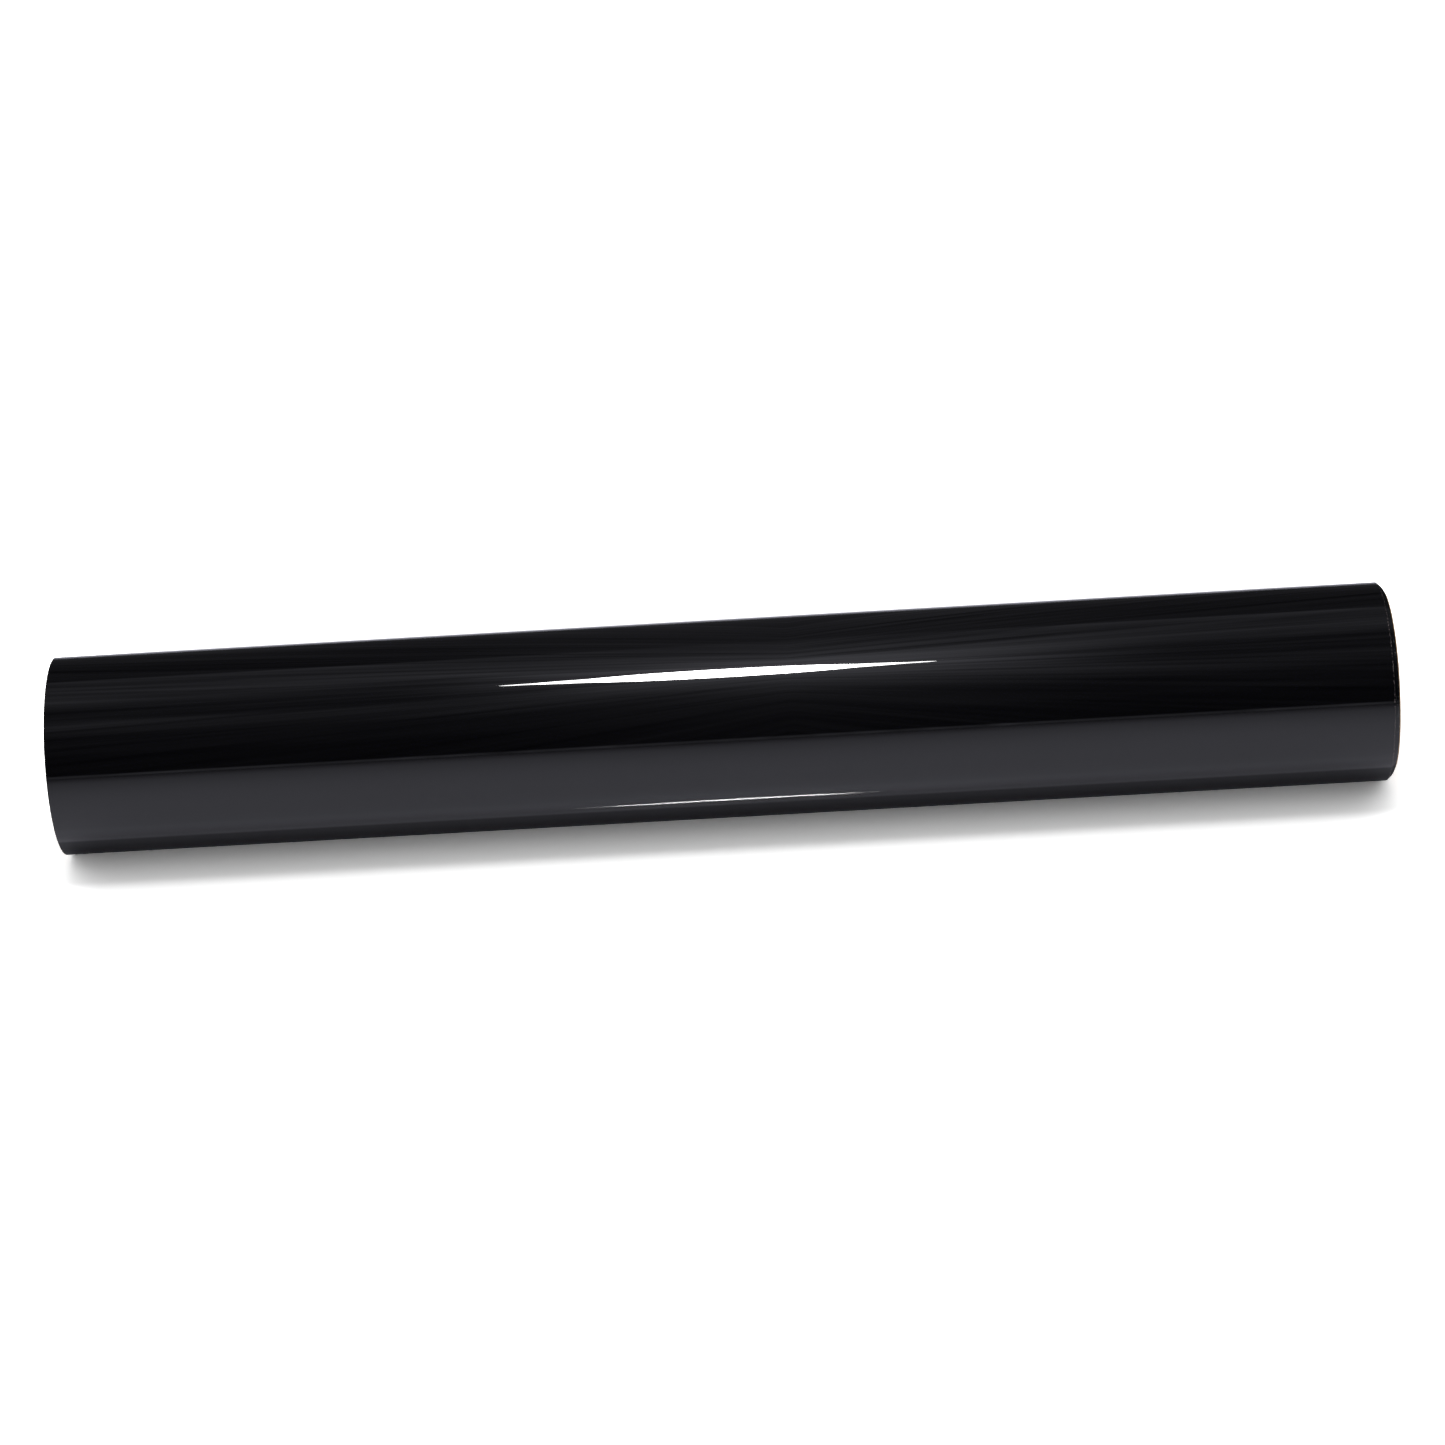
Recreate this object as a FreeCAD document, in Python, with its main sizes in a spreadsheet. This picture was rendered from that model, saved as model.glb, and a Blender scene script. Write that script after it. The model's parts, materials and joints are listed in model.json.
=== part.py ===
import FreeCAD, Part
import Sketcher
import math
import os

# A roll of sign vinyl: one self-adhesive web wound face-out on a spiral-wound paper core.
#
# Row frame, millimetres: +X runs along the core's axis, +Z is up, and the origin is the middle
# of the core's bore. Every sub-part is drawn round a Z axis, with the XY plane as the roll's
# cross-section, and its Placement lays that axis along +X. Angles in the cross-section are in
# degrees from +Y (the back), through +Z (the top, 90) and -Y (the front, 180).
#
# The web winds with falling angle, from its inner edge on the core to its tail on the back. Its
# spiral has two centres, half a pitch apart: each half turn is one arc, and the next half turn
# has its radius half a pitch larger about the other centre, so the arcs join without a corner.

SIZES = [
    ("web_width", 609.6, "width of the vinyl, 24 in"),
    ("film_thickness", 0.065, "calendered vinyl film"),
    ("adhesive_thickness", 0.02, "pressure-sensitive adhesive under the film"),
    ("liner_thickness", 0.13, "siliconised paper liner under the adhesive"),
    ("air_gap", 0.01, "air wound in between one turn and the next"),
    ("quarter_turns", 66, "quarter turns of web wound tight below the tail"),
    ("telescope", 2.6, "how far the outermost turn has slipped to the left of the innermost"),
    ("core_bore_radius", 38.1, "3 in bore"),
    ("core_plies", 8, "paper plies in the core's wall"),
    ("ply_thickness", 0.47, "one glued ply"),
    ("core_overhang", 0.5, "core past the innermost turn at each end"),
    ("seat_gap", 0.12, "core to the innermost liner, where the starter tape lies"),
    ("starter_thickness", 0.1, "double-sided tape that starts the web on the core"),
    ("starter_width", 19.0, "starter tape, round the core"),
    ("starter_inset", 10.0, "bare core at each end of the starter tape"),
    ("arc_step", 3.0, "angle of each short arc that a thin loose sheet is drawn with"),
    ("body_gap", 0.2, "clearance between sheets that lift off each other"),
    ("tail_hinge_angle", 60.0, "where the outermost turn starts to lift"),
    ("lip_hinge_angle", 30.0, "where the film starts to peel off its liner"),
    ("tail_edge_angle", 0.0, "cut edge of the web"),
    ("tape_thickness", 0.13, "crepe paper tape that holds the tail down"),
    ("tape_width", 25.4, "tape, along the roll"),
    ("tape_upper_angle", 20.0, "upper edge of each tape, on the film"),
    ("tape_lower_angle", -20.0, "lower edge of each tape, past the cut edge"),
    ("tape_spacing", 225.0, "from one tape to the next"),
]

PITCH = "(Sizes.liner_thickness + Sizes.adhesive_thickness + Sizes.film_thickness + Sizes.air_gap)"
CORE_OUTER = "(Sizes.core_bore_radius + Sizes.core_plies * Sizes.ply_thickness)"
CORE_LENGTH = "(Sizes.web_width + 2 * Sizes.core_overhang)"
SEAT_RADIUS = f"({CORE_OUTER} + Sizes.seat_gap)"
WEB_START_ANGLE = "mod(Sizes.tail_hinge_angle + 90 * Sizes.quarter_turns; 360)"
STARTER_SPAN = f"(Sizes.starter_width / {CORE_OUTER} * 180 / pi)"
LINER_OUTSIDE = "Sizes.liner_thickness"
ADHESIVE_OUTSIDE = f"({LINER_OUTSIDE} + Sizes.adhesive_thickness)"
FILM_OUTSIDE = f"({ADHESIVE_OUTSIDE} + Sizes.film_thickness)"

# The tail goes on with the spiral's last half turn, and each sheet that lifts off another stands
# clear of it: the tail off the turn below, the film's lip off the liner, the tapes off the film.
TAIL_HALF_TURN = "floor(Sizes.quarter_turns / 2)"
TAIL_RADIUS = f"({SEAT_RADIUS} + {TAIL_HALF_TURN} * {PITCH} / 2 + Sizes.body_gap)"
LIP_RADIUS = f"({TAIL_RADIUS} + Sizes.body_gap)"
TAPE_RADIUS = f"({LIP_RADIUS} + {FILM_OUTSIDE} + Sizes.body_gap)"

AXIS_ALONG_X = FreeCAD.Rotation(FreeCAD.Vector(1, 1, 1), 120)
QUARTERS_IN_A_TURN = 4

os.makedirs("parts", exist_ok=True)
doc = FreeCAD.newDocument("sign_vinyl_roll")


def make_sheet():
    """Write the driving dimensions, one row each: value and what it is."""
    sheet = doc.addObject("Spreadsheet::Sheet", "Sizes")
    for row, (alias, number, note) in enumerate(SIZES, start=1):
        sheet.set(f"A{row}", str(number))
        sheet.setAlias(f"A{row}", alias)
        sheet.set(f"B{row}", note)
    doc.recompute()
    return sheet


sizes = make_sheet()


def value(expression):
    """Return what an expression in the sheet's sizes comes to."""
    return float(sizes.evalExpression(expression))


def direction(angle):
    """Return the unit vector of the cross-section at an angle in degrees."""
    return FreeCAD.Vector(math.cos(math.radians(angle)), math.sin(math.radians(angle)), 0)


def spiral_centre(half_turn):
    """Return the centre of a half turn: the axis for even ones, half a pitch off it for odd."""
    if half_turn % 2 == 0:
        return FreeCAD.Vector(0, 0, 0)
    return direction(value(WEB_START_ANGLE)) * (value(PITCH) / 2)


def lay_along_x(node, centre=FreeCAD.Vector(0, 0, 0)):
    """Set the Placement that turns the roll's axis from Z to +X, about one of its centres."""
    node.Placement = FreeCAD.Placement(AXIS_ALONG_X.multVec(centre), AXIS_ALONG_X)


# --------------------------------------------------------------------------- paper core

def make_ply(number):
    """Make one ply of the core: a ring sketch, padded both ways from the middle."""
    body = doc.addObject("PartDesign::Body", f"core_ply_{number}")
    plane = next(item for item in body.Origin.OriginFeatures if item.Role == "XY_Plane")
    sketch = body.newObject("Sketcher::SketchObject", f"core_ply_{number}_ring")
    sketch.AttachmentSupport = [(plane, "")]
    sketch.MapMode = "FlatFace"
    for edge, layers in (("inside", number - 1), ("outside", number)):
        start_radius = value("Sizes.core_bore_radius") + layers * value("Sizes.ply_thickness")
        circle = Part.Circle(FreeCAD.Vector(0, 0, 0), FreeCAD.Vector(0, 0, 1), start_radius)
        index = sketch.addGeometry(circle, False)
        sketch.addConstraint(Sketcher.Constraint("Coincident", index, 3, -1, 1))
        radius = sketch.addConstraint(Sketcher.Constraint("Radius", index, start_radius))
        sketch.renameConstraint(radius, edge)
        expression = f"Sizes.core_bore_radius + {layers} * Sizes.ply_thickness"
        sketch.setExpression(f"Constraints.{edge}", expression)
    pad = body.newObject("PartDesign::Pad", f"core_ply_{number}_pad")
    pad.Profile = sketch
    pad.SideType = "Symmetric"
    pad.setExpression("Length", CORE_LENGTH)
    lay_along_x(body)
    return body


# --------------------------------------------------------------------------- curved sheets

def radius_arc(radius, start, end, centre=FreeCAD.Vector(0, 0, 0)):
    """Return the arc of one radius from a start angle to an end angle."""
    points = [centre + direction(angle) * radius for angle in (start, (start + end) / 2, end)]
    return Part.Arc(*points).toShape()


def layer_section(inner, outer):
    """Return the cross-section between two runs of arcs that start and end side by side."""
    first_edge = Part.makeLine(inner[0].firstVertex(True).Point, outer[0].firstVertex(True).Point)
    last_edge = Part.makeLine(inner[-1].lastVertex(True).Point, outer[-1].lastVertex(True).Point)
    return Part.Face(Part.Wire(Part.__sortEdges__([*inner, last_edge, *outer, first_edge])))


def make_sector(name, radius, length, low_angle, high_angle, middle):
    """Make a pie-shaped cylinder between two angles, centred on `middle` along the axis."""
    sector = doc.addObject("Part::Cylinder", name)
    sector.setExpression("Radius", radius)
    sector.setExpression("Height", length)
    sector.setExpression("Angle", f"{high_angle} - {low_angle}")
    base = f"vector(0; 0; {middle} - {length} / 2)"
    sector.setExpression("Placement", f"placement({base}; rotation(vector(0; 0; 1); {low_angle}))")
    return sector


def make_curved_sheet(name, inside, thickness, length, low_angle, high_angle, middle):
    """Make a sheet of even thickness bent round the axis: one sector cut out of another."""
    place = (length, low_angle, high_angle, middle)
    sheet = doc.addObject("Part::Cut", name)
    sheet.Base = make_sector(f"{name}_outside", f"{inside} + {thickness}", *place)
    sheet.Tool = make_sector(f"{name}_inside", inside, *place)
    sheet.Refine = False
    return sheet


def make_bent_sheet(name, inside, thickness, length, angles, middle):
    """Make a thin sheet bent round the axis from one angle to another, drawn as short arcs.

    The short arcs give the sheet's mesh edges close enough to stay inside its thickness.
    """
    low, high = (value(angle) for angle in angles)
    arcs = round((high - low) / value("Sizes.arc_step"))
    steps = [low + (high - low) * count / arcs for count in range(arcs + 1)]
    inner, outer = (
        [radius_arc(radius, *ends) for ends in zip(steps, steps[1:])]
        for radius in (value(inside), value(inside) + value(thickness))
    )
    section = layer_section(inner, outer)
    section.translate(FreeCAD.Vector(0, 0, value(middle) - value(length) / 2))
    sheet = doc.addObject("Part::Feature", name)
    sheet.Shape = section.extrude(FreeCAD.Vector(0, 0, value(length)))
    return sheet


def make_starter_tape():
    """Make the double-sided tape under the web's inner edge, midway in its gap."""
    tape = make_bent_sheet(
        "starter_tape",
        f"({CORE_OUTER} + (Sizes.seat_gap - Sizes.starter_thickness) / 2)",
        "Sizes.starter_thickness",
        f"({CORE_LENGTH} - 2 * Sizes.starter_inset)",
        (f"({WEB_START_ANGLE} - {STARTER_SPAN})", WEB_START_ANGLE),
        "0",
    )
    lay_along_x(tape)
    return tape


def make_web_stretch(name, inside, thickness, angles):
    """Make one layer of the lifting web, as wide as the web and in line with its last turn."""
    return make_bent_sheet(name, inside, thickness, "Sizes.web_width", angles, "-Sizes.telescope")


def make_tail():
    """Make the web's last stretch: its liner, and its adhesive and film up to the lip's hinge."""
    whole = ("Sizes.tail_edge_angle", "Sizes.tail_hinge_angle")
    upper = ("Sizes.lip_hinge_angle", "Sizes.tail_hinge_angle")
    adhesive_inside = f"({TAIL_RADIUS} + {LINER_OUTSIDE})"
    film_inside = f"({TAIL_RADIUS} + {ADHESIVE_OUTSIDE})"
    return [
        make_web_stretch("liner_tail", TAIL_RADIUS, "Sizes.liner_thickness", whole),
        make_web_stretch("adhesive_tail", adhesive_inside, "Sizes.adhesive_thickness", upper),
        make_web_stretch("film_tail", film_inside, "Sizes.film_thickness", upper),
    ]


def make_lip():
    """Make the end of the film, with its adhesive, that peels off the tail's liner."""
    lower = ("Sizes.tail_edge_angle", "Sizes.lip_hinge_angle")
    adhesive_inside = f"({LIP_RADIUS} + {LINER_OUTSIDE})"
    film_inside = f"({LIP_RADIUS} + {ADHESIVE_OUTSIDE})"
    return [
        make_web_stretch("adhesive_lip", adhesive_inside, "Sizes.adhesive_thickness", lower),
        make_web_stretch("film_lip", film_inside, "Sizes.film_thickness", lower),
    ]


def make_tapes():
    """Make the three tapes that hold the cut edge down, spaced evenly about the web's middle."""
    tapes = []
    for side, step in (("left", -1), ("middle", 0), ("right", 1)):
        tapes.append(make_curved_sheet(
            f"tape_{side}",
            TAPE_RADIUS,
            "Sizes.tape_thickness",
            "Sizes.tape_width",
            "Sizes.tape_lower_angle",
            "Sizes.tape_upper_angle",
            f"({step} * Sizes.tape_spacing - Sizes.telescope)",
        ))
    return tapes


# --------------------------------------------------------------------------- wound web

def quarter_arc(quarter, height):
    """Return the arc that runs round one quarter turn, at a height above the web's inside."""
    half_turn = quarter // 2
    radius = value(SEAT_RADIUS) + half_turn * value(PITCH) / 2 + height
    start = value(WEB_START_ANGLE) - 90 * quarter
    return radius_arc(radius, start, start - 90, spiral_centre(half_turn))


def wound_turns():
    """Return each turn's quarters and how far it has slipped, from the outermost turn in."""
    last = int(value("Sizes.quarter_turns"))
    ends = list(range(last, 0, -QUARTERS_IN_A_TURN))
    turns = []
    for count, end in enumerate(ends):
        outwards = 1 - count / len(ends)
        slip = -value("Sizes.telescope") * outwards ** 2
        turns.append((range(max(0, end - QUARTERS_IN_A_TURN), end), slip))
    return turns


def make_wound_layer(name, turns, inside, outside):
    """Make one layer of some turns of the web, each slipped along the axis, fused in one."""
    width = value("Sizes.web_width")
    rings = []
    for quarters, slip in turns:
        section = layer_section(
            [quarter_arc(quarter, value(inside)) for quarter in quarters],
            [quarter_arc(quarter, value(outside)) for quarter in quarters],
        )
        section.translate(FreeCAD.Vector(0, 0, slip - width / 2))
        rings.append(section.extrude(FreeCAD.Vector(0, 0, width)))
    layer = doc.addObject("Part::Feature", name)
    layer.Shape = rings[0].multiFuse(rings[1:]).Solids[0] if len(rings) > 1 else rings[0]
    lay_along_x(layer)
    return layer


def make_wound_web():
    """Make the web's layers as wound; the film's outermost turn is a sub-part of its own."""
    turns = wound_turns()
    return [
        make_wound_layer("release_liner", turns, "0", LINER_OUTSIDE),
        make_wound_layer("adhesive_coat", turns, LINER_OUTSIDE, ADHESIVE_OUTSIDE),
        make_wound_layer("vinyl_film", turns[1:], ADHESIVE_OUTSIDE, FILM_OUTSIDE),
        make_wound_layer("film_outer_turn", turns[:1], ADHESIVE_OUTSIDE, FILM_OUTSIDE),
    ]


# --------------------------------------------------------------------------- assembly

core = [make_ply(number) for number in range(1, int(value("Sizes.core_plies")) + 1)]
lifting = [*make_tail(), *make_lip(), *make_tapes()]
for sheet_node in lifting:
    lay_along_x(sheet_node, spiral_centre(int(value(TAIL_HALF_TURN))))
nodes = [*core, make_starter_tape(), *make_wound_web(), *lifting]
doc.recompute()

for item in doc.Objects:
    if "Invalid" in item.State or "Error" in item.State:
        raise RuntimeError(f"{item.Label} did not rebuild: {item.State}")
for node in nodes:
    if node.Shape.isNull() or not node.Shape.isValid() or len(node.Shape.Solids) != 1:
        raise RuntimeError(f"{node.Label} is not one valid solid")
for node in nodes:
    node.Shape.exportStep(f"parts/{node.Label}.step")
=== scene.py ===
"""Visual model of a roll of black gloss sign vinyl on a paper core.

The web is wound face-out: glossy film outside, adhesive under it, paper liner inside. Its outermost
turn ends in a tail on the back, held down by three crepe tapes. Everything is in metres, in the
frame's own coordinates: +X along the core, +Z up, -Y the front. Angles in the cross-section are in
degrees from +Y, through +Z at 90, to -Y at 180.
"""

import json
import logging
import math
from dataclasses import dataclass, replace
from enum import Enum
from typing import Sequence

import bmesh
import bpy
from mathutils import Matrix, Quaternion, Vector, noise


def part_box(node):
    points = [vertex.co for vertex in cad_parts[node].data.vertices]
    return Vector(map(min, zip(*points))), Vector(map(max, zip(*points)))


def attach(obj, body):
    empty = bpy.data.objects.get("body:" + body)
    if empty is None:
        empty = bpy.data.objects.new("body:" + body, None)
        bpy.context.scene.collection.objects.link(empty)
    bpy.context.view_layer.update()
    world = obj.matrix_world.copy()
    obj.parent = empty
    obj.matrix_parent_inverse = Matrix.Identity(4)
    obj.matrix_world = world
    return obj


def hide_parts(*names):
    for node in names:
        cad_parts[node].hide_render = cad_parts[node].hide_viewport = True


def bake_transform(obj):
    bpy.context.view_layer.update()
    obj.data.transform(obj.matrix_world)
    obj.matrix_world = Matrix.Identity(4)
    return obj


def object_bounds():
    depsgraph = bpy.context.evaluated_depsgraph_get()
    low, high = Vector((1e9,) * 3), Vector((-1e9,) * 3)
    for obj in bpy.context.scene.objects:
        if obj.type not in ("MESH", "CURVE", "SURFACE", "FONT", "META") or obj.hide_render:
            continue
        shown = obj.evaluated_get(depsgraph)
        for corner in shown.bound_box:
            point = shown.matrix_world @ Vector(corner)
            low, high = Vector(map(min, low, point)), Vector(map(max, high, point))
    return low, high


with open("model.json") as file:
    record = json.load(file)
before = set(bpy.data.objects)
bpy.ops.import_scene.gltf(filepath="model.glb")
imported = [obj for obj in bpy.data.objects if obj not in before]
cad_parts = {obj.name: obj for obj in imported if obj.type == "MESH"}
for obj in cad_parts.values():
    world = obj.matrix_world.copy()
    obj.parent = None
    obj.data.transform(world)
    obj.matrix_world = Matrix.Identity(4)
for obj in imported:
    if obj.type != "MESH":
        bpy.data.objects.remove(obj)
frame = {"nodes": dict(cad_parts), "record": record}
CAD_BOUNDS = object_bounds()

LOG = logging.getLogger("sign_vinyl_roll")
MM = 0.001
QUARTER_TURN = 90.0
HALF_TURN = 180.0
FULL_TURN = 360.0
ORIGIN = (0.0, 0.0, 0.0)
X_AXIS = (1.0, 0.0, 0.0)
SHARP_ANGLE = math.radians(40)
NEGLIGIBLE = 1e-6
NOISE_PLANE = 0.5

Span = tuple[float, float]
Triple = tuple[float, float, float]


class Body(str, Enum):
    """The moving bodies that pieces ride on, apart from the tapes' own."""

    ROLL = "roll"
    TAIL = "tail"
    LIP = "lip"


class Slot(str, Enum):
    """The record's material slots."""

    VINYL = "vinyl"
    LINER = "liner"
    ADHESIVE = "adhesive"
    CORE = "core_paper"
    STARTER = "starter_tape"
    TAPE = "crepe_tape"


def direction(angle: float) -> Vector:
    """Return the unit vector of the cross-section at an angle in degrees."""
    return Vector((0.0, math.cos(math.radians(angle)), math.sin(math.radians(angle))))


def mount(name: str) -> dict:
    """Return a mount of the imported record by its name."""
    return next(item for item in frame["record"]["mounts"] if item["name"] == name)


def unit_noise(sample: Vector) -> float:
    """Return smooth noise between 0 and 1."""
    return (1.0 + noise.noise(sample)) / 2


# ------------------------------------------------------------------------------ sizes of the roll


@dataclass(frozen=True)
class Winding:
    """The web's path: a spiral of half-turn arcs about two centres, half a pitch apart.

    `turned` is the winding angle in degrees from the web's inner edge on the core.
    """

    width: float = 609.6 * MM
    liner: float = 0.13 * MM
    adhesive: float = 0.02 * MM
    film: float = 0.065 * MM
    air: float = 0.01 * MM
    core_plies: int = 8
    ply: float = 0.47 * MM
    seat_gap: float = 0.12 * MM
    quarter_turns: int = 66
    telescope: float = 2.6 * MM
    hinge_angle: float = 60.0
    lip_angle: float = 30.0
    edge_angle: float = 0.0

    @property
    def pitch(self) -> float:
        """Return how much the radius grows in a turn."""
        return self.liner + self.adhesive + self.film + self.air

    @property
    def bore(self) -> float:
        """Return the core's bore radius."""
        return mount("core_bore")["dims"]["r_mm"] * MM

    @property
    def core_radius(self) -> float:
        """Return the core's outer radius."""
        return self.bore + self.core_plies * self.ply

    @property
    def wound_angle(self) -> float:
        """Return the winding angle at the tail's hinge."""
        return QUARTER_TURN * self.quarter_turns

    @property
    def start_angle(self) -> float:
        """Return the angle of the web's inner edge."""
        return self.hinge_angle + self.wound_angle

    @property
    def film_inside(self) -> float:
        """Return the film's inside, above the web's inside."""
        return self.liner + self.adhesive

    @property
    def web(self) -> float:
        """Return the thickness of the whole web."""
        return self.film_inside + self.film

    def turned_at(self, angle: float) -> float:
        """Return the winding angle at which the last turn passes an angle."""
        return self.start_angle - angle

    def centre(self, turned: float) -> Vector:
        """Return the centre of the half turn that a winding angle lies in."""
        if int(turned // HALF_TURN) % 2 == 0:
            return Vector()
        return direction(self.start_angle) * (self.pitch / 2)

    def radius(self, turned: float) -> float:
        """Return the radius of the web's inside in the half turn of a winding angle."""
        return self.core_radius + self.seat_gap + int(turned // HALF_TURN) * self.pitch / 2

    def slip(self, turned: float) -> float:
        """Return how far the web has slipped along the axis at a winding angle."""
        outermost = self.wound_angle - FULL_TURN
        return -self.telescope * min(1.0, turned / outermost) ** 2

    def spot(self, turned: float, height: float) -> Vector:
        """Return the middle of the web's cross-section at a winding angle.

        Args:
            turned: the winding angle in degrees.
            height: how far above the web's inside, in metres.

        Returns:
            The place, with the web's slip as its x.
        """
        out = direction(self.start_angle - turned)
        place = self.centre(turned) + out * (self.radius(turned) + height)
        place.x = self.slip(turned)
        return place


# ------------------------------------------------------------------------------ finishes

Given = bpy.types.NodeSocket | float | tuple[float, ...]


class Nodes:
    """A short way to add and link shader nodes in one tree."""

    mix_sockets = {"RGBA": (6, 7, 2), "FLOAT": (2, 3, 0)}

    def __init__(self, tree: bpy.types.NodeTree) -> None:
        """Keep the tree that nodes are added to."""
        self.tree = tree

    def add(self, kind: str, **values: object) -> bpy.types.Node:
        """Add a node and set its properties and inputs.

        Args:
            kind: the node's type name.
            values: properties of the node, or values of inputs, whose names have _ for a space.

        Returns:
            The new node.
        """
        node = self.tree.nodes.new(kind)
        for key, value in values.items():
            if hasattr(node, key):
                setattr(node, key, value)
            else:
                self.feed(node.inputs[key.replace("_", " ")], value)
        return node

    def feed(self, socket: bpy.types.NodeSocket, given: Given) -> None:
        """Link an input to an output, or set it to a value."""
        if isinstance(given, bpy.types.NodeSocket):
            self.tree.links.new(given, socket)
        else:
            socket.default_value = given

    def calculate(self, operation: str, *operands: Given) -> bpy.types.NodeSocket:
        """Add a calculation on outputs or numbers and return its result."""
        node = self.add("ShaderNodeMath", operation=operation)
        for socket, given in zip(node.inputs, operands):
            self.feed(socket, given)
        return node.outputs["Value"]

    def mix(
        self, kind: str, factor: Given, first: Given, second: Given, blend: str = "MIX"
    ) -> bpy.types.NodeSocket:
        """Add a mix of two colours or two numbers.

        Args:
            kind: RGBA for colours, FLOAT for numbers.
            factor: how much of the second there is.
            first: what a factor of 0 gives.
            second: what a factor of 1 gives.
            blend: how two colours are mixed.

        Returns:
            The mix.
        """
        node = self.add("ShaderNodeMix", data_type=kind, blend_type=blend)
        first_input, second_input, result = self.mix_sockets[kind]
        self.feed(node.inputs["Factor"], factor)
        self.feed(node.inputs[first_input], first)
        self.feed(node.inputs[second_input], second)
        return node.outputs[result]

    def remap(
        self, given: Given, old: Span, new: tuple[Given, Given] = (0.0, 1.0), curve: str = "LINEAR"
    ) -> bpy.types.NodeSocket:
        """Add a clamped map from one range to another.

        Args:
            given: the number to map.
            old: the range that it comes from.
            new: the range that it goes to.
            curve: the way between its ends.

        Returns:
            The mapped number.
        """
        node = self.add("ShaderNodeMapRange", interpolation_type=curve, Value=given)
        for name, value in zip(("From Min", "From Max", "To Min", "To Max"), (*old, *new)):
            self.feed(node.inputs[name], value)
        return node.outputs["Result"]

    def parts(self, source: str) -> tuple[bpy.types.NodeSocket, ...]:
        """Return the x, y and z of one of the texture coordinates."""
        place = self.add("ShaderNodeTexCoord").outputs[source]
        return tuple(self.add("ShaderNodeSeparateXYZ", Vector=place).outputs)


GROUPS: dict[str, bpy.types.NodeTree] = {}


def grain_group() -> bpy.types.NodeTree:
    """Return the shared grain: a noise that varies a colour, a roughness and a height."""
    if "grain" in GROUPS:
        return GROUPS["grain"]
    tree = bpy.data.node_groups.new("surface_grain", "ShaderNodeTree")
    sockets = [
        ("Vector", "INPUT", "NodeSocketVector"), ("Scale", "INPUT", "NodeSocketFloat"),
        ("Light", "INPUT", "NodeSocketColor"), ("Dark", "INPUT", "NodeSocketColor"),
        ("Smooth", "INPUT", "NodeSocketFloat"), ("Rough", "INPUT", "NodeSocketFloat"),
        ("Colour", "OUTPUT", "NodeSocketColor"), ("Roughness", "OUTPUT", "NodeSocketFloat"),
        ("Height", "OUTPUT", "NodeSocketFloat"),
    ]
    for name, way, kind in sockets:
        tree.interface.new_socket(name=name, in_out=way, socket_type=kind)
    nodes = Nodes(tree)
    given = nodes.add("NodeGroupInput").outputs
    coarse = nodes.add(
        "ShaderNodeTexNoise", Detail=4.0, Roughness=0.6, Vector=given["Vector"], Scale=given["Scale"]
    ).outputs["Fac"]
    nodes.add(
        "NodeGroupOutput",
        Colour=nodes.mix("RGBA", coarse, given["Dark"], given["Light"]),
        Roughness=nodes.remap(coarse, (0.0, 1.0), (given["Smooth"], given["Rough"])),
        Height=coarse,
    )
    GROUPS["grain"] = tree
    return tree


@dataclass(frozen=True)
class Finish:
    """A finish made of the shared grain: two tints, a range of roughness and a fine relief."""

    name: str
    light: Triple
    dark: Triple
    smooth: float
    rough: float
    grain: float
    relief: float
    stretch: Triple = (1.0, 1.0, 1.0)
    ior: float = 1.5

    def make(self) -> bpy.types.Material:
        """Return the finish as a material."""
        material = bpy.data.materials.new(self.name)
        material.use_nodes = True
        material.diffuse_color = (*self.light, 1.0)
        nodes = Nodes(material.node_tree)
        shader = material.node_tree.nodes["Principled BSDF"]
        shader.inputs["IOR"].default_value = self.ior
        place = nodes.add("ShaderNodeTexCoord").outputs["Object"]
        turned = nodes.add("ShaderNodeMapping", Scale=self.stretch, Vector=place).outputs["Vector"]
        grain = nodes.add("ShaderNodeGroup", node_tree=grain_group())
        values = {
            "Vector": turned, "Scale": self.grain, "Light": (*self.light, 1.0),
            "Dark": (*self.dark, 1.0), "Smooth": self.smooth, "Rough": self.rough,
        }
        for name, value in values.items():
            nodes.feed(grain.inputs[name], value)
        nodes.feed(shader.inputs["Base Color"], grain.outputs["Colour"])
        nodes.feed(shader.inputs["Roughness"], grain.outputs["Roughness"])
        if self.relief:
            bump = nodes.add("ShaderNodeBump", Distance=self.relief, Height=grain.outputs["Height"])
            nodes.feed(shader.inputs["Normal"], bump.outputs["Normal"])
        return material


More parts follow.
